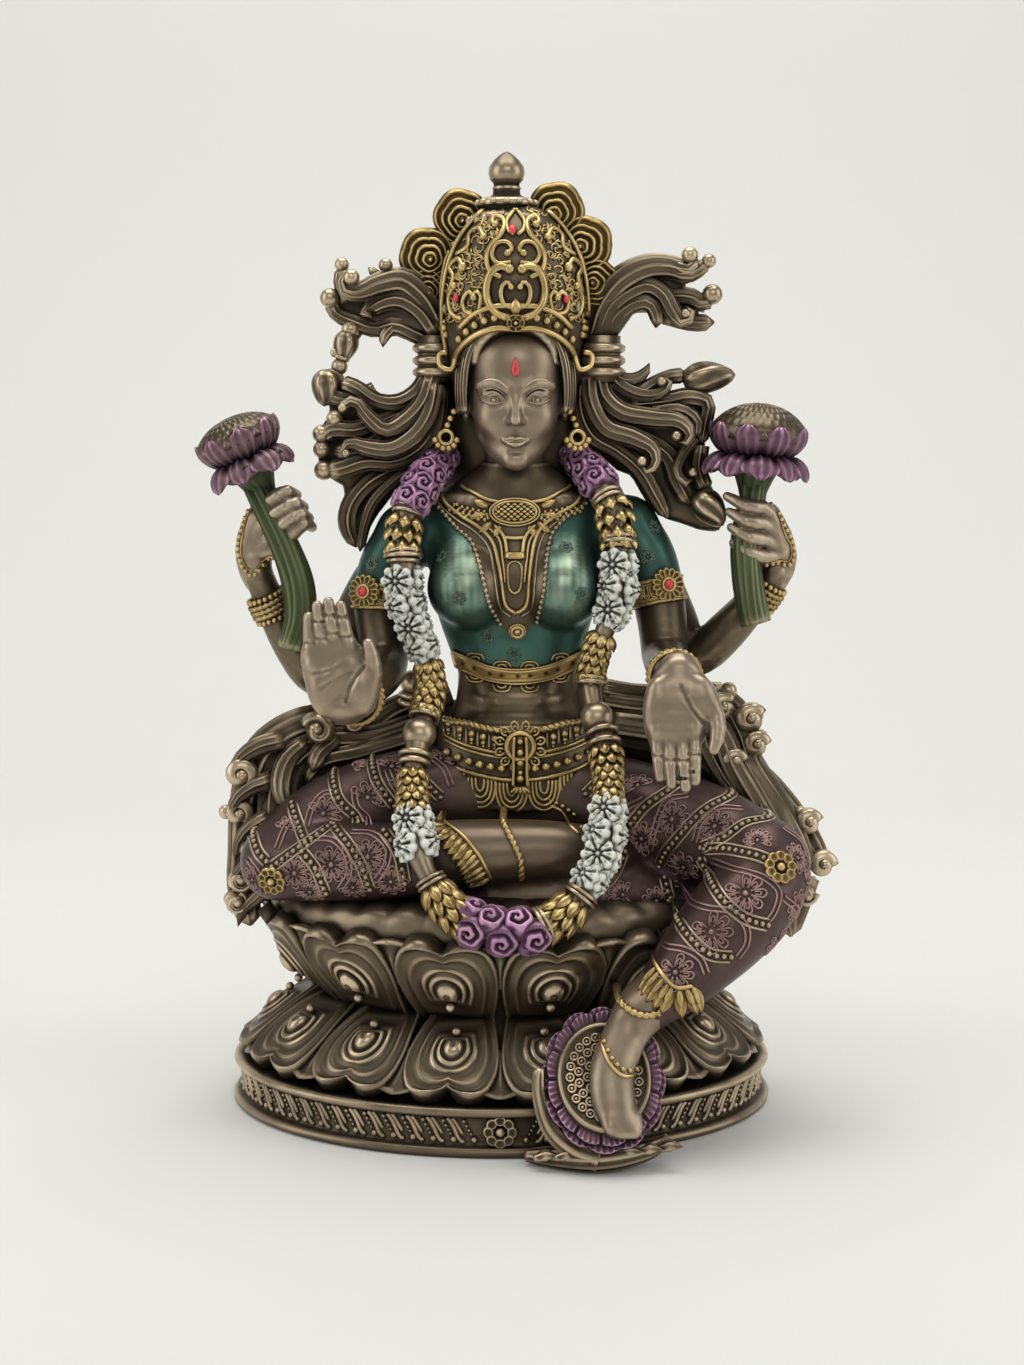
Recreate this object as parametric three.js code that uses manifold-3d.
// A cast figurine: a four-armed goddess seated on a double lotus, with one foot on a small lotus footrest.
// It is cast in one piece with its plinth. Millimetres, +Z up, the front faces -Y.
// The origin is the middle of the plinth's flat underside.
import * as THREE from "three";
import { mergeVertices } from "three/addons/utils/BufferGeometryUtils.js";
import Module from "manifold-3d";

const wasm = await Module();
wasm.setup();

// Plinth sizes.
const PLINTH_LENGTH = 145;
const PLINTH_DEPTH = 104;
const FOOT_RIM = 2.4; // height of the plain rim round the underside
const BAND_HEIGHT = 8.2; // the carved band above that rim
const BAND_INSET = 2.4;
const LEDGE_RIM = 2.0;
const LOWER_LOTUS = 18.4; // height of the down-turned row of petals, ledge to waist
const UPPER_LOTUS = 21; // height of the up-turned row, waist to seat
const WAIST_LENGTH = 96;
const SEAT_LENGTH = 123;
const LOWER_PETALS = 14;
const UPPER_PETALS = 12;
const BAND_RIBS = 32;
const RIB_HEIGHT = 1.1;
const RIB_LEAN = 0.9; // how far a rib leans over the band's height, in ribs

// The figure. Its pose and carving are drawn on a figurine 250 high whose seat is at 52.
const FIGURE_HEIGHT = 198; // seat to the finial's tip
const DRAWN_FIGURE = 198;
const DRAWN_SEAT = 52;

const LEDGE = FOOT_RIM + BAND_HEIGHT + LEDGE_RIM;
const WAIST = LEDGE + LOWER_LOTUS;
const SEAT = WAIST + UPPER_LOTUS;
const HALF_LENGTH = PLINTH_LENGTH / 2;
const ASPECT = PLINTH_DEPTH / PLINTH_LENGTH;
const SHARE = FIGURE_HEIGHT / DRAWN_FIGURE;

const Y = new THREE.Vector3(0, 1, 0);
const Z = new THREE.Vector3(0, 0, 1);
const radians = THREE.MathUtils.degToRad;

// Solids

// A closed geometry as a solid, turned the right way out.
function solidOf(geometry) {
  const bare = geometry.clone();
  bare.deleteAttribute("normal");
  bare.deleteAttribute("uv");
  const merged = mergeVertices(bare, 1e-4);
  const triVerts = new Uint32Array(merged.index.array);
  const made = () =>
    new wasm.Manifold(
      new wasm.Mesh({ numProp: 3, vertProperties: merged.attributes.position.array, triVerts }),
    );
  const solid = made();
  if (solid.volume() > 0) return solid;
  for (let i = 0; i < triVerts.length; i += 3) {
    [triVerts[i + 1], triVerts[i + 2]] = [triVerts[i + 2], triVerts[i + 1]];
  }
  return made();
}

function joined(geometries) {
  return geometries.map(solidOf).reduce((whole, solid) => whole.add(solid));
}

// Moves every vertex of a geometry to where place says.
function reshape(geometry, place) {
  const at = geometry.attributes.position;
  const p = new THREE.Vector3();
  for (let i = 0; i < at.count; i++) {
    const q = place(p.fromBufferAttribute(at, i));
    at.setXYZ(i, q.x, q.y, q.z);
  }
  return geometry;
}

// A limb, lock or fold: a closed tube along a smooth line through points [x, y, z, radius].
// depth is its thickness, towards across, as a share of its width.
function tube(points, { sides = 6, steps = 5, depth = 1, across = Y } = {}) {
  const curve = new THREE.CatmullRomCurve3(
    points.map(([x, y, z]) => new THREE.Vector3(x, y, z)), false, "centripetal");
  const radiusAt = (t) => {
    const s = t * (points.length - 1);
    const i = Math.min(Math.floor(s), points.length - 2);
    return THREE.MathUtils.lerp(points[i][3], points[i + 1][3], s - i);
  };
  return reshape(new THREE.CylinderGeometry(1, 1, 1, sides, steps), (p) => {
    const t = THREE.MathUtils.clamp(p.y + 0.5, 0, 1);
    const along = curve.getTangent(t);
    const side = new THREE.Vector3().crossVectors(along, across).normalize();
    const front = new THREE.Vector3().crossVectors(side, along).normalize();
    const r = radiusAt(t);
    return curve.getPoint(t).addScaledVector(side, p.x * r).addScaledVector(front, -p.z * r * depth);
  });
}

// An ellipsoid with its three radii, turned about the Y axis by turn degrees.
function egg([x, y, z], [rx, ry, rz], turn = 0, columns = 8, rows = 6) {
  const ball = new THREE.SphereGeometry(1, columns, rows).rotateX(Math.PI / 2).scale(rx, ry, rz);
  return ball.rotateY(radians(turn)).translate(x, y, z);
}

function bead(x, y, z, r) {
  return egg([x, y, z], [r, r, r], 0, 4, 3);
}

// A turned form: [radius, height] pairs about the Z axis, squeezed in Y by aspect.
function turned(profile, { segments = 12, aspect = 1, at = [0, 0, 0], tilt = [0, 0] } = {}) {
  const outline = profile.map(([r, h]) => new THREE.Vector2(r, h));
  const lathe = new THREE.LatheGeometry(outline, segments).rotateX(Math.PI / 2).scale(1, aspect, 1);
  return lathe.rotateX(radians(tilt[0])).rotateY(radians(tilt[1])).translate(...at);
}

// A turned form whose wall swells into a number of petals round the Z axis.
// Each row of the wall is [radius, height, swell, droop]: the swell stands out at each petal's middle,
// and the droop moves the wall along Z between two petals.
function petalled(rows, petals, { columns = 4, aspect = 1, spread = (t) => t } = {}) {
  const wall = new THREE.CylinderGeometry(1, 1, 1, petals * columns, rows.length - 1);
  return reshape(wall, (p) => {
    const row = rows[Math.round(THREE.MathUtils.clamp(p.y + 0.5, 0, 1) * (rows.length - 1))];
    if (Math.hypot(p.x, p.z) < 0.5) return new THREE.Vector3(0, 0, row[1]);
    const turn = Math.atan2(p.z, p.x) / (2 * Math.PI) + 1;
    const angle = spread(turn % 1) * 2 * Math.PI - Math.PI / 2;
    const across = Math.abs((((turn * petals) % 1) + 1) % 1 - 0.5) * 2; // 1 between petals, 0 mid-petal
    const r = row[0] + row[2] * Math.sqrt(Math.max(0, 1 - across * across));
    return new THREE.Vector3(r * Math.cos(angle), r * Math.sin(angle) * aspect, row[1] + row[3] * across);
  });
}

// A flower face standing off a surface: petals round a domed hub, facing -Y.
function rosette([x, y, z], radius, petals, height = 2) {
  const rows = [[radius * 0.7, -height, radius * 0.3, 0], [radius * 0.7, height * 0.4, radius * 0.3, 0],
    [radius * 0.3, height, 0, 0]];
  return petalled(rows, petals, { columns: 2 }).rotateX(Math.PI / 2).translate(x, y, z);
}

// Plinth

// Where along a circle a share of an ellipse's edge lies, so that petals are evenly wide.
function evenly(aspect) {
  const fine = 360;
  const lengths = [0];
  const place = (i) => {
    const angle = (i / fine) * 2 * Math.PI;
    return [Math.sin(angle), aspect * Math.cos(angle)];
  };
  for (let i = 1; i <= fine; i++) {
    const [x0, y0] = place(i - 1);
    const [x1, y1] = place(i);
    lengths.push(lengths[i - 1] + Math.hypot(x1 - x0, y1 - y0));
  }
  return (share) => {
    const wanted = share * lengths[fine];
    const i = Math.max(1, lengths.findIndex((s) => s >= wanted));
    return (i - 1 + (wanted - lengths[i - 1]) / (lengths[i] - lengths[i - 1])) / fine;
  };
}

// The plain foot rim and the plain ledge, with the band's leaning ribs between them.
function plinthBase() {
  const bandTop = FOOT_RIM + BAND_HEIGHT;
  const disc = (profile) => turned(profile, { segments: 26, aspect: ASPECT });
  const wall = HALF_LENGTH - BAND_INSET - 1;
  const ribs = [[wall, FOOT_RIM, RIB_HEIGHT + 1, 0], [wall, bandTop, RIB_HEIGHT + 1, 0]];
  const star = petalled(ribs, BAND_RIBS, { columns: 2, aspect: ASPECT, spread: evenly(ASPECT) });
  const lean = (RIB_LEAN * Math.PI) / BAND_RIBS;
  return [
    disc([[0, 0], [HALF_LENGTH, 0], [HALF_LENGTH, FOOT_RIM], [0, FOOT_RIM]]),
    reshape(star, (p) => p.clone().applyAxisAngle(Z, p.z > LEDGE / 2 ? lean : -lean)),
    disc([[0, bandTop], [HALF_LENGTH - 0.5, bandTop], [HALF_LENGTH - 0.5, LEDGE - 0.4],
      [HALF_LENGTH - 5, LEDGE],
      [0, LEDGE]]),
  ];
}

// The down-turned and the up-turned row of petals, each one closed form from tips to waist.
function lotusRows() {
  const waist = WAIST_LENGTH / 2;
  const seat = SEAT_LENGTH / 2;
  const spread = evenly(ASPECT);
  const tip = HALF_LENGTH - 6.5;
  const lower = [
    [waist + 0.5, WAIST, 2.6, 0],
    [(waist + tip) / 2 + 1, WAIST - LOWER_LOTUS * 0.34, 4, 0.8],
    [tip - 0.5, WAIST - LOWER_LOTUS * 0.86, 4.6, 4],
    [tip - 9, LEDGE - 0.5, 2, 0],
  ];
  const upper = [
    [waist - 0.5, WAIST, 2.2, 0],
    [(waist + seat) / 2, WAIST + UPPER_LOTUS * 0.38, 4, -0.8],
    [seat - 4, SEAT + 1.6, 4, -5],
    [seat - 9, SEAT - 3, 2, 0],
  ];
  return [[lower, LOWER_PETALS], [upper, UPPER_PETALS]].map(([rows, petals]) =>
    petalled(rows, petals, { columns: 4, aspect: ASPECT, spread }));
}

// The small lotus under the front foot, leaning on the plinth, with its leaf and stem on the ground.
function footrest() {
  const front = -PLINTH_DEPTH / 2;
  const centre = [26, front - 3.4, LEDGE + 9.4];
  const lean = radians(54);
  const dish = petalled([[6, -7, 0, 0], [11.4, -2, 3.4, 0], [10.4, 1, 2.4, 0], [9.4, 0, 0, 0]], 10,
    { columns: 2, aspect: 1.22 });
  return [
    dish.rotateX(lean).translate(...centre),
    tube([[10.5, front - 1.6, 24.5, 1.4], [11.5, front - 3, 13, 2.2], [17, front - 5, 5.4, 3.2],
      [24, front - 7, 3.4, 3]], { sides: 4, steps: 3 }),
    tube([[6.5, front - 3, 2.6, 1.6], [15, front - 5.5, 3, 2.9], [25, front - 7, 3.6, 3.5],
      [36, front - 6, 5, 2.4],
      [41.5, front - 3.4, 6.6, 1.2]], { sides: 4, steps: 4, across: Z }),
    tube([[25, front + 8, 9, 9], [25, front - 4, 7.6, 7.4]], { sides: 6, steps: 1, across: Z }),
  ];
}

// Figure

// The trunk with the two belts it wears, from the hips to the neck.
function torso() {
  const trunk = [
    [4, 4, 70, 25], [4.5, 3, 84, 22], [4.5, 3, 94.6, 21], [4.5, 3, 95.6, 22.6], [4.5, 3, 102.6, 21],
      [4.5, 3, 103.4, 18],
    [4.5, 3, 112.6, 16.4], [4.5, 3, 113.2, 17.8], [4.5, 3, 117.8, 17.8], [4.3, 3, 118.4, 16.8],
    [4, 3, 128, 21], [3.8, 3.4, 139, 25], [3.8, 4, 153, 26], [3.8, 4, 161, 12],
  ];
  const shoulders = [[-28, 6, 152.5, 7], [-14, 4, 157.5, 8], [3.8, 3.6, 159, 9], [22, 4, 158.5, 8],
    [37, 6, 154.5, 7]];
  return [
    tube(trunk, { sides: 8, steps: trunk.length - 1, depth: 0.56 }),
    tube(shoulders, { sides: 6, steps: 4 }),
    tube([[3.8, 4, 156, 8.4], [3.6, 3.4, 174, 7.4]], { sides: 7, steps: 1 }),
    egg([-8.4, -6, 137.5], [10.4, 11.4, 10.4], 0, 7, 6),
    egg([16, -6, 137.5], [10.4, 11.4, 10.4], 0, 7, 6),
  ];
}

// What hangs from the hip belt: a scalloped fringe, and the buckle with its tongue.
function beltDrops() {
  const fringe = petalled([[17, -9, 3.4, 3.6], [20, 3, 2, 0]], 11, { columns: 2, aspect: 0.68 });
  const tongue = tube([[4.5, -13, 98, 2], [4.5, -14, 86, 2.2]], { sides: 4, steps: 1 });
  return [fringe.translate(4.5, 3, 92), rosette([4.5, -11, 99], 5, 8, 3.4), tongue, bead(4, -8.8, 126, 2.4)];
}

function necklace() {
  const collar = [-75, -38, 0, 38, 75].map((deg) => {
    const angle = radians(deg - 90);
    return [3.8 + Math.cos(angle) * 13.4, Math.sin(angle) * 6 - 1, 158 + Math.sin(angle) * 4.4, 1.7];
  });
  return [
    tube(collar, { sides: 4, steps: 6, across: Z }),
    egg([3.8, -7.8, 153], [6, 2.2, 3], 0, 8, 4),
    tube([[3.8, -7.4, 150, 2.4], [3.9, -9.8, 141, 2.2], [4, -9.8, 130, 2]], { sides: 4, steps: 2 }),
  ];
}

// An arm whose rings stand at its points, so that armlets and bangles are steps in its radius.
function arm(points, across = Y) {
  return tube(points, { sides: 6, steps: points.length - 1, across });
}

function frontArms() {
  return [
    arm([[-28, 6, 153, 8], [-31, 5, 145, 7.8], [-32.6, 3.6, 138, 7.4], [-32.8, 3.4, 137, 8.8],
      [-33.2, 2.8, 132, 8.8],
      [-33.2, 2.6, 131, 7], [-32, 1, 122, 6.4], [-30, -3, 111, 5.6]]),
    arm([[-30, -1, 112, 5.6], [-33, -16, 106.5, 5], [-37.4, -35.4, 106, 5]], Z),
    arm([[36, 6, 155, 8.2], [40, 4, 146, 8], [42, 2.8, 139, 7.4], [42.2, 2.6, 138, 8.8],
      [42.8, 1.6, 133, 8.8],
      [42.8, 1.4, 132, 7], [42.8, -2, 125, 6.4], [43, -6, 118.5, 5.8]]),
    arm([[43, -4, 119.5, 5.8], [43.6, -17, 118.5, 5.2], [44.4, -34, 119.5, 5]], Z),
    egg([-35.5, -5, 135], [4.4, 2.4, 4.4], 0, 6, 3),
    egg([44.4, -6, 136], [4.4, 2.4, 4.4], 0, 6, 3),
  ];
}

function backArms() {
  return [
    arm([[-27, 13, 150, 7], [-40, 14, 128, 6.2], [-47.4, 10, 111.4, 5.6]]),
    arm([[-47, 10, 112, 5.6], [-55, 6, 121, 5.2], [-59.4, 4, 129, 4.6], [-59.8, 3.8, 129.8, 5.8],
      [-61.6, 2.6, 133.4, 5.8],
      [-62, 2.4, 134.2, 4.4]]),
    arm([[36, 13, 151, 7], [46, 14, 132, 6.4], [50, 9, 118.4, 6]]),
    arm([[50, 9, 119, 6], [60, 6, 127, 5.6], [66.4, 3.4, 133, 5], [67, 3, 133.6, 6], [70, 2, 137, 6],
      [70.6, 1.8, 137.8, 4.4]]),
  ];
}

// A hand with its palm to the front. Each finger is [base x, base z, tip x, tip z].
function openHand({ wrist, palm, knuckles, fingers, thumb, front, lean }) {
  const wide = 9.2;
  const thick = 3.2;
  const bones = fingers.map(([bx, bz, tx, tz]) =>
    tube([[bx, front, bz, 1.9], [(bx + tx) / 2, front - 0.5, (bz + tz) / 2, 1.8],
      [tx, front - lean, tz, 1.4]],
      { sides: 4, steps: 1 }));
  return [
    tube([[...wrist, 5], [...palm, wide * 0.92], [knuckles[0], front, knuckles[1], wide]],
      { sides: 6, steps: 2, depth: thick / wide }),
    ...bones,
    tube(thumb, { sides: 4, steps: 2 }),
  ];
}

function frontHands() {
  return [
    ...openHand({
      wrist: [-37.4, -34, 104], palm: [-38.6, -36, 112], knuckles: [-40.8, 122.5], front: -37, lean: 1,
      fingers: [[-46.4, 120.5, -46.8, 134], [-42.8, 121, -44, 137.5], [-39.2, 121, -41.2, 138.5],
        [-35.6, 120, -37.6, 137]],
      thumb: [[-34, -36, 110, 3.2], [-30.8, -37.5, 117, 2.4], [-32, -39, 127.5, 1.5]],
    }),
    ...openHand({
      wrist: [44.4, -32, 122], palm: [44.2, -35, 114], knuckles: [43.4, 104], front: -38, lean: 3,
      fingers: [[37.8, 105.5, 39, 93.5], [41.2, 105, 41.8, 91.2], [44.8, 105, 45, 90.5],
        [48.4, 106, 47.8, 92.5]],
      thumb: [[49.6, -35, 114, 3], [53, -37, 107, 2.4], [52.4, -39.5, 99.5, 1.4]],
    }),
  ];
}

// A fist round a flower's stems, with its four fingers wrapped across the front.
function gripHands() {
  const palm = { sides: 5, steps: 2, depth: 0.6 };
  const finger = (knuckle, bend, tip) => tube([[...knuckle, 1.7], [...bend, 1.8],
    [...tip, 1.5]], { sides: 3, steps: 2 });
  const four = [0, 1, 2, 3];
  return [
    tube([[-62, 1.5, 134.5, 4.2], [-65, 1, 142, 5.6], [-62.5, 0.5, 150, 6.4], [-58.5, 0, 157, 5]], palm),
    ...four.map((i) => finger([-61 + i * 0.6, 0, 158.5 - i * 3.4], [-56.5 + i * 1.4, -5, 160 - i * 3.5],
      [-52 + i * 1.3, -3.4, 159.5 - i * 3.4])),
    tube([[70, 2, 136.5, 4.2], [74, 1.5, 143, 5.6], [72.5, 1, 151, 6], [69, 0, 158, 4.6]], palm),
    ...four.map((i) => finger([70 + i * 0.4, -1, 157.4 - i * 3.6], [64.5 + i * 0.5, -6, 157.6 - i * 3.7],
      [59 + i * 0.9, -3, 159.6 - i * 3.7])),
  ];
}

// A lotus flower on a bundle of stems: leaves, a ring of petals and a domed top, leaning by tilt degrees.
function lotusFlower({ stem, at, tilt, radius, dome, petals }) {
  const head = petalled([[2, -9, 0, 0], [radius * 0.66, -1.4, 1.8, 0], [radius * 0.86, 3, radius * 0.16, -2],
    [radius * 0.72, dome * 0.72, radius * 0.14, -1.6], [radius * 0.42, dome, 0, 0]], petals, { columns: 2 });
  return [tube(stem, { sides: 5, steps: 3 }), head.rotateY(radians(tilt)).translate(...at)];
}

function flowers() {
  return [
    ...lotusFlower({
      stem: [[-63.5, -1, 166, 3.4], [-57, -3, 153, 3.6], [-52.5, -4, 140, 4], [-52, -5, 129, 4.2],
        [-54.5, -6, 121, 4.4]],
      at: [-68.4, -1, 171.4], tilt: -20, radius: 11.6, dome: 10, petals: 8,
    }),
    ...lotusFlower({
      stem: [[66.4, -1, 165, 3.6], [64.2, -3, 148, 3.6], [64.6, -5, 137, 3.8], [67, -6, 127.5, 4.2]],
      at: [66.4, -1, 173.6], tilt: 5, radius: 14, dome: 12, petals: 9,
    }),
  ];
}

function legs() {
  const thigh = { sides: 7, steps: 3, depth: 0.95 };
  return [
    tube([[-2, 4, 80, 15], [-26.5, -5, 81, 13.5], [-44.5, -12, 76.5, 12], [-57, -18, 69, 9.5]], thigh),
    tube([[11, 4, 80, 15], [37, -8, 78, 13.5], [55, -20, 74.5, 12.5], [66.5, -29.5, 70, 11.4]], thigh),
    egg([66, -31, 69.4], [11.4, 11, 11.6], 0, 7, 5),
    tube([[-57, -20, 68, 9], [-44, -24, 69.5, 10], [-25, -27, 70, 9.6], [-12, -27.5, 71.5, 8.4],
      [15, -26, 71.5, 7.6], [26, -22, 69.5, 6.8], [34, -17, 66.5, 4.5]], { sides: 7, steps: 5 }),
    tube([[67, -31, 70, 10], [66, -34, 66.5, 11.4], [59, -38, 59.5, 12.4], [49.5, -43, 50, 10.5],
      [41, -46.5, 41.5, 7.4],
      [34, -47.5, 35, 5.4]], { sides: 7, steps: 4 }),
    tube([[35, -46, 38, 5], [31, -51, 30, 5.4], [27.6, -57, 21.5, 5.8], [28, -61, 14.5, 5.4],
      [29.5, -63.6, 10, 3.6]], { sides: 6, steps: 3, depth: 0.8 }),
    egg([11, -6, 62], [44, 26, 15], 0, 8, 4),
  ];
}

function head() {
  return [
    egg([3.8, 2, 187], [13.2, 14, 17], 0, 8, 6),
    egg([3.8, -3.5, 181.5], [10.8, 9.6, 12.6], 0, 8, 6),
    tube([[3.8, -12, 192, 1], [3.8, -14.4, 184.2, 2], [3.8, -12.2, 182, 1.6]], { sides: 4, steps: 2 }),
    egg([3.8, -10.6, 171.4], [3.4, 2.6, 2.6], 0, 6, 4),
    ...[-1, 1].flatMap((hand) => [
      tube([[3.8 + hand * 14.6, 0, 184, 1.3], [3.8 + hand * 16.6, -2.4, 177, 2.2]], { sides: 4, steps: 1 }),
    ]),
  ];
}

// The domed crown with its rim, front panel, halo of rosettes behind, and turned finial.
function crown() {
  const halo = [[-19, 225], [-10.5, 234], [14, 235.5], [21, 227.5], [24.5, 218], [-19.5, 216]];
  return [
    turned([[0, -5], [16.6, -5], [18.8, -3.4], [18.8, 0.6], [17.6, 1.2], [19.2, 8], [18.8, 18], [15.4, 26.5],
      [10.4, 32.5], [0, 34.5]], { segments: 12, aspect: 0.92, at: [3.4, 4, 202], tilt: [0, -2] }),
    ...halo.map(([x, z]) =>
      turned([[0, -2], [6.8, -2], [5.4, 1.8], [0, 1.8]], { segments: 6, at: [x, 6, z], tilt: [90, 0] })),
    tube([[3.8, -14.6, 205, 5.6], [3.8, -14.4, 216, 7], [3.6, -12, 227, 5], [3.2, -7.6, 235, 2.6]],
      { sides: 6, steps: 3, depth: 0.36 }),
    turned([[0, -3], [9, -2.4], [8.4, 1], [5, 2.4], [7, 4.4], [2.8, 7.4], [4.3, 12], [0, 16.2]],
      { segments: 7, at: [1.6, 4.5, 233.8] }),
  ];
}

// Locks of hair: control points [x, y, z, radius] from the tie beside the head outwards, top lock first.
const RIGHT_TUFT = [
  [[-14, 5, 207, 3], [-20, 5, 213, 3.6], [-25.5, 4, 217.4, 3.6], [-31.5, 2, 216.6, 3.2],
    [-37.5, 0, 217.4, 2.6],
    [-41, 1, 221, 1.6]],
  [[-14, 6, 203.5, 3], [-21, 5, 208.8, 3.2], [-26.5, 4, 211.8, 3.2], [-32, 3, 210.8, 3],
    [-38.6, 2, 211.6, 2.6],
    [-44.4, 3, 213, 1.8]],
  [[-15, 7, 200.4, 2.6], [-22.5, 7, 204, 2.8], [-28, 6, 206.4, 2.8], [-33, 6, 205.6, 2.8],
    [-38.4, 5, 205.6, 2.6],
    [-43.6, 5, 207, 2]],
];
const RIGHT_FALL = [
  [[-17.5, 6, 195.5, 3], [-22, 5, 190, 3], [-28, 3, 186.6, 3], [-36, 1, 188, 3], [-45, 2, 190, 3]],
  [[-17, 4, 192.4, 3], [-20.5, 2, 186, 3], [-26, 0, 181.4, 3], [-34, -2, 182.4, 2.8], [-44.5, -1, 184, 2.6]],
  [[-16.6, 3, 189.4, 3], [-19, 1, 182, 3], [-23.5, -1, 176.6, 3], [-33, -3, 175, 2.8], [-47, -1, 178, 2.6]],
  [[-16.2, 4, 186.4, 3], [-17.6, 3, 178, 3], [-22, 2, 172.4, 3], [-32, 0, 169.8, 3], [-47.5, 1, 171.5, 2.8]],
  [[-16, 6, 182, 2.6], [-18, 6, 173, 3], [-26, 5, 167, 3.4], [-36, 4, 161, 3.4], [-39, 6, 147.5, 2.4]],
];
const LEFT_TUFT = [
  [[23.5, 7, 206, 3], [27, 6, 212.4, 3.6], [32.5, 5, 218, 3.6], [40, 4, 221, 3.4], [48, 3, 220.4, 3],
    [55.5, 2, 222.6, 1.8]],
  [[25.6, 8, 203.4, 3], [29.6, 7, 209.4, 3.2], [34.6, 6, 213.8, 3.2], [41, 5, 214.6, 3], [48, 4, 213.4, 2.8],
    [55.8, 4, 213, 2]],
  [[27.4, 8, 200.8, 2.8], [31.6, 7, 206, 3], [36.6, 6, 209, 2.8], [42, 5, 208.4, 2.6], [48.4, 4, 207, 2.6],
    [56, 5, 206.5, 1.8]],
];
const LEFT_FALL = [
  [[27, 6, 195, 3], [33, 5, 190.4, 3], [41, 4, 187.6, 3], [49, 3, 187.4, 3], [54.4, 3, 183, 2.8]],
  [[25.6, 5, 192, 3], [30, 2, 185.6, 3], [38, -1, 182.2, 3], [46, -2, 180.4, 2.8], [53, 0, 175.6, 2.6]],
  [[24.4, 4, 189, 3], [26.6, 1, 181.6, 3], [33.4, -2, 177, 3], [42, -3, 174.4, 2.8], [52, -1, 168, 2.8]],
  [[23, 5, 186, 3], [24, 3, 177.6, 3], [29.6, 1, 172.6, 3], [40, 1, 168.4, 3], [51.6, 0, 160.4, 3]],
  [[22, 6, 181, 2.6], [23, 5, 172.6, 3], [29, 3, 168, 3], [38.4, 2, 162, 3], [44.6, 3, 155, 2.4]],
];
const STRAYS = [
  [[-35.6, 5, 207, 2.6], [-39, 5, 201.5, 3], [-42, 4, 195.5, 2], [-45, 3, 189, 4.2]],
  [[28, 6, 193.5, 2.4], [35, 5, 191.5, 2], [39, 5, 196, 0.8]],
  [[36, 4, 188.4, 2.6], [47, 5, 192, 2.4], [54.5, 5, 192.3, 4.2], [61.5, 5, 193, 1.4]],
  [[48, 3, 166, 3], [52.6, -1, 160, 3.6], [58, -1, 154, 2.6]],
];
const HAIR_BACK = 10; // how far back the masses' rear faces lie
const VALLEY_SHORTFALL = 0.12; // how far a valley stops short of the locks' tips, as a share of their length

// A mass of locks lying side by side: a ridge along each lock, a valley between two, and a plain back.
function hairMass(locks) {
  const curves = locks.map((points) => new THREE.CatmullRomCurve3(
    points.map(([x, y, z]) => new THREE.Vector3(x, y, z)), false, "centripetal"));
  const radius = (i, t) => {
    const last = locks[i].length - 1;
    const at = Math.min(Math.floor(t * last), last - 1);
    return THREE.MathUtils.lerp(locks[i][at][3], locks[i][at + 1][3], t * last - at);
  };
  const edge = (i, t, way) => {
    const along = curves[i].getTangent(t);
    const side = new THREE.Vector3(along.z, 0, -along.x).normalize().multiplyScalar(way * radius(i, t));
    return curves[i].getPoint(t).add(side);
  };
  const outward = Math.sign(locks[0][1][0]); // which side of the head the mass is on
  const lines = 2 * locks.length;
  return reshape(new THREE.BoxGeometry(1, 1, 1, lines, locks[0].length - 1, 1), (p) => {
    const line = Math.round((p.x + 0.5) * lines);
    const t = THREE.MathUtils.clamp(p.y + 0.5, 0, 1);
    const lock = (line - 1) / 2;
    const ridge = line % 2 === 1;
    const short = t * (1 - VALLEY_SHORTFALL * t);
    const place = ridge ? curves[lock].getPoint(t)
      : line === 0 ? edge(0, short, -outward)
        : line === lines ? edge(locks.length - 1, short, outward)
          : curves[Math.floor(lock)].getPoint(short).lerp(curves[Math.ceil(lock)].getPoint(short), 0.5);
    const r = radius(Math.min(locks.length - 1, Math.max(0, Math.floor(lock))), t);
    const front = place.y - (ridge ? r : -0.3 * r);
    return new THREE.Vector3(place.x, p.z > 0 ? front : Math.max(front + 2, HAIR_BACK - 3 * t), place.z);
  });
}

function hair() {
  const tie = (x) => tube([[x, 7, 203, 5.2], [x, 7, 193, 5.6]], { sides: 6, steps: 1, depth: 0.8 });
  return [
    ...[RIGHT_TUFT, RIGHT_FALL, LEFT_TUFT, LEFT_FALL].map(hairMass),
    ...STRAYS.map((points) => tube(points, { sides: 4, steps: 3 })),
    tie(-17.4),
    tie(26.6),
    bead(-30, 4, 220.4, 2.2),
    tube([[4, 10, 200, 16], [4, 13, 180, 21], [4, 13, 158, 15]], { sides: 7, steps: 2, depth: 0.5 }),
  ];
}

// The garland round the neck, hanging over the lap. Its radius changes with its flowers.
const GARLAND_SIDE = [[17, 6, 172, 3], [22, -3, 166, 4.2], [26, -8, 159, 4.4], [27.6, -10, 151.5, 3.8],
  [27.6, -11.6, 145, 4.6], [27.6, -12.6, 137.5, 4.8], [25, -13.4, 129, 3.6], [22, -13.6, 121, 3],
    [20.8, -14, 113.5, 3.8],
  [22, -18, 106, 3], [24, -22.5, 100, 4.4], [24.6, -27.5, 92, 3.4], [24.4, -33.5, 84, 4.6],
    [23.2, -38, 76, 4.6],
  [20.6, -41, 69.5, 3.4], [15.6, -43.5, 62.5, 4.4], [9, -45.5, 58, 3.8]];
const GARLAND_BOTTOM = [1, -47, 56, 5.2];
const GARLAND_MIDDLE = 2.5; // x of the line that its two sides mirror in

function garland() {
  const left = GARLAND_SIDE.map(([x, y, z, r]) => [GARLAND_MIDDLE + x, y, z, r]);
  const right = GARLAND_SIDE.map(([x, y, z, r]) => [GARLAND_MIDDLE - x, y, z, r]);
  return [tube([...right, GARLAND_BOTTOM, ...left.reverse()], { sides: 5, steps: 34,
    across: new THREE.Vector3(0, 1, 0.2) })];
}

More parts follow.
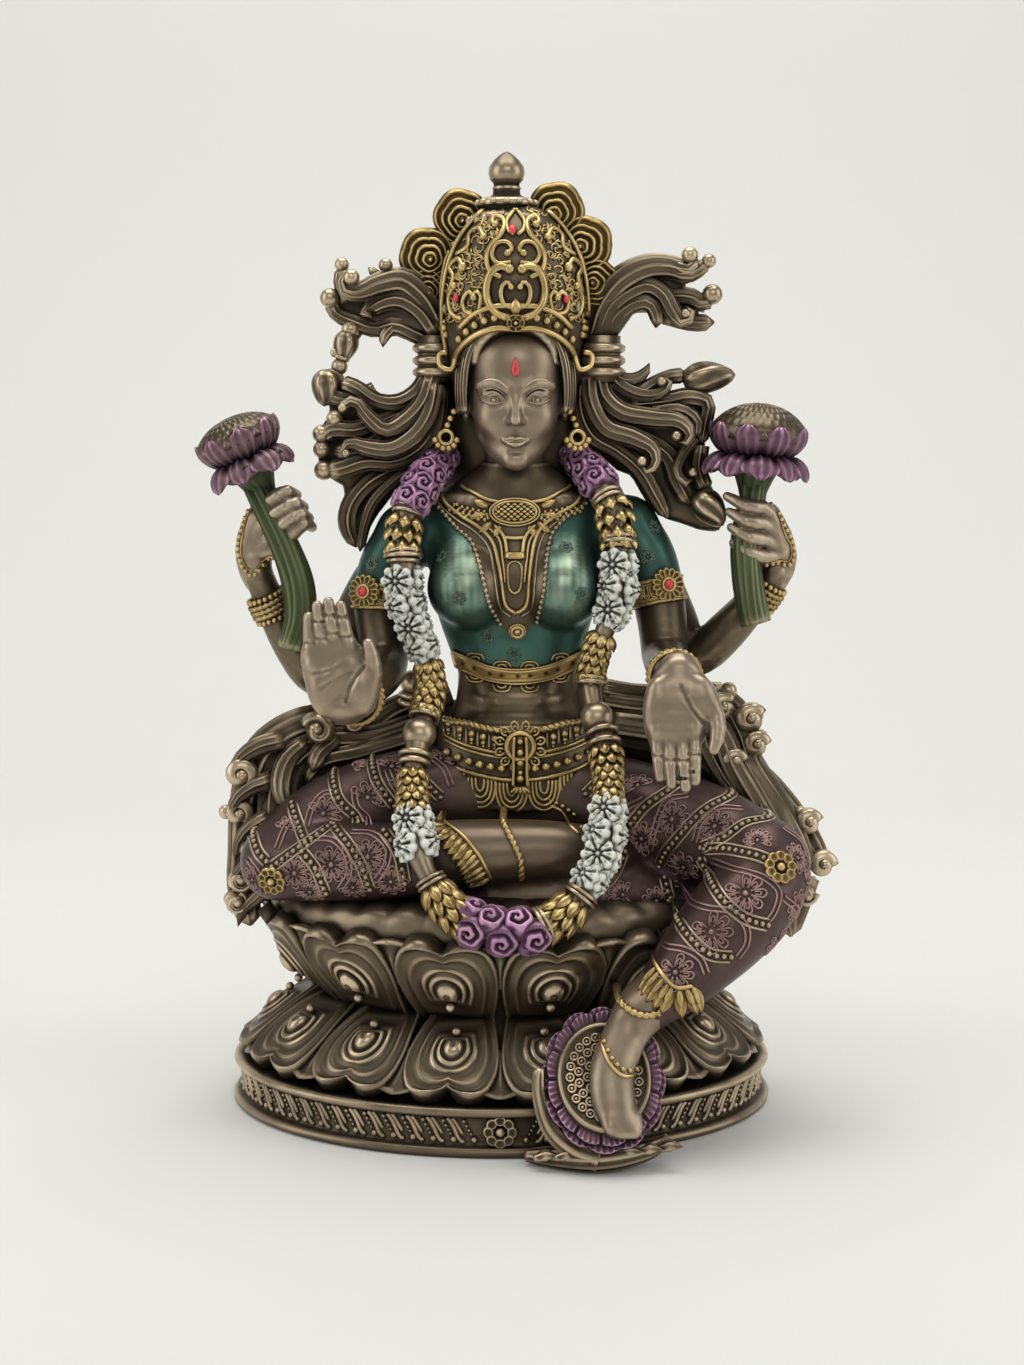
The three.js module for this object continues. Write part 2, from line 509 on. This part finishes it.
// The shawl behind the hips, its folds and the balls on its curled edges.
function shawl() {
  const fold = { sides: 5, steps: 6, depth: 0.7 };
  const balls = [[-69.5, -1, 89, 3.2], [-70.5, -2, 77, 3.2], [-71.5, -3, 57, 3.4], [69, 3, 99, 3.4],
    [62, 4, 108.5, 3]];
  return [
    tube([[-14, 12, 104, 6], [-27.5, 11, 101, 5], [-36, 8, 98, 5], [-46, 5, 99, 5.6], [-56, 3, 97.5, 6.4],
      [-63, 1, 90, 6.6], [-64, -1, 80, 6.6], [-65, -3, 70, 6], [-66.5, -4, 58, 5.2],
        [-66, -5, 47.5, 3.4]], fold),
    tube([[22, 12, 104, 6], [37, 12, 103.5, 5], [50, 12, 103, 5], [60, 8, 103, 6], [64, 4, 96, 6],
      [66, 2, 88, 5], [74, -4, 80, 4.4], [80, -9, 71, 4.2], [84, -13, 63.5, 2.6]], fold),
    tube([[18, 14, 94, 9], [40, 11, 93, 10], [60, 6, 91, 8]], { sides: 5, steps: 2, depth: 0.5 }),
    tube([[-24, 4, 96, 4], [-36, 0, 93.5, 4], [-46, -3, 91.5, 4],
      [-52, -5, 86, 2.4]], { sides: 5, steps: 3 }),
    tube([[-58, 2, 96, 7], [-58, -4, 84, 7], [-59, -6, 72, 6]], { sides: 5, steps: 2, depth: 0.6 }),
    tube([[80.5, -10, 62, 3.4], [78.5, -8, 53, 3.6], [76.5, -8, 45, 2.2]], { sides: 4, steps: 2 }),
    tube([[62, 2, 95, 7], [68, -6, 82, 8], [74, -14, 70, 8],
      [74, -16, 58, 6]], { sides: 6, steps: 3, depth: 0.6 }),
    tube([[12, 14, 100, 14], [12, 16, 80, 22], [12, 16, 60, 26]], { sides: 7, steps: 2, depth: 0.5 }),
    ...balls.map((ball) => bead(...ball)),
  ];
}

// The whole casting: the plinth, and the figure set on its seat.
function casting() {
  const figure = [
    ...torso(), ...beltDrops(), ...necklace(), ...frontArms(), ...backArms(), ...frontHands(), ...gripHands(),
    ...flowers(), ...legs(), ...head(), ...crown(), ...hair(), ...garland(), ...shawl(),
  ];
  const onSeat = new THREE.Matrix4().makeTranslation(0, 0, SEAT)
    .multiply(new THREE.Matrix4().makeScale(SHARE, SHARE, SHARE))
    .multiply(new THREE.Matrix4().makeTranslation(0, 0, -DRAWN_SEAT));
  const set = figure.map((geometry) => geometry.applyMatrix4(onSeat));
  const whole = joined([...plinthBase(), ...lotusRows(), ...footrest(), ...set]);
  // A pocket closed in between overlapping forms is no hollow of the casting, so only the outer shell stays.
  return whole.decompose().reduce((best, shell) => (shell.volume() > best.volume() ? shell : best));
}

function meshOf(name, solid, material) {
  const { vertProperties, triVerts } = solid.getMesh();
  const geometry = new THREE.BufferGeometry();
  geometry.setAttribute("position", new THREE.BufferAttribute(vertProperties, 3));
  geometry.setIndex(new THREE.BufferAttribute(triVerts, 1));
  geometry.computeVertexNormals();
  const mesh = new THREE.Mesh(geometry, material);
  mesh.name = name;
  return mesh;
}

const bronze = new THREE.MeshStandardMaterial({ color: 0x6a5a48, roughness: 0.42, metalness: 0.7 });

const figurine = new THREE.Group();
figurine.add(meshOf("lakshmi_figure", casting(), bronze));

export default figurine;
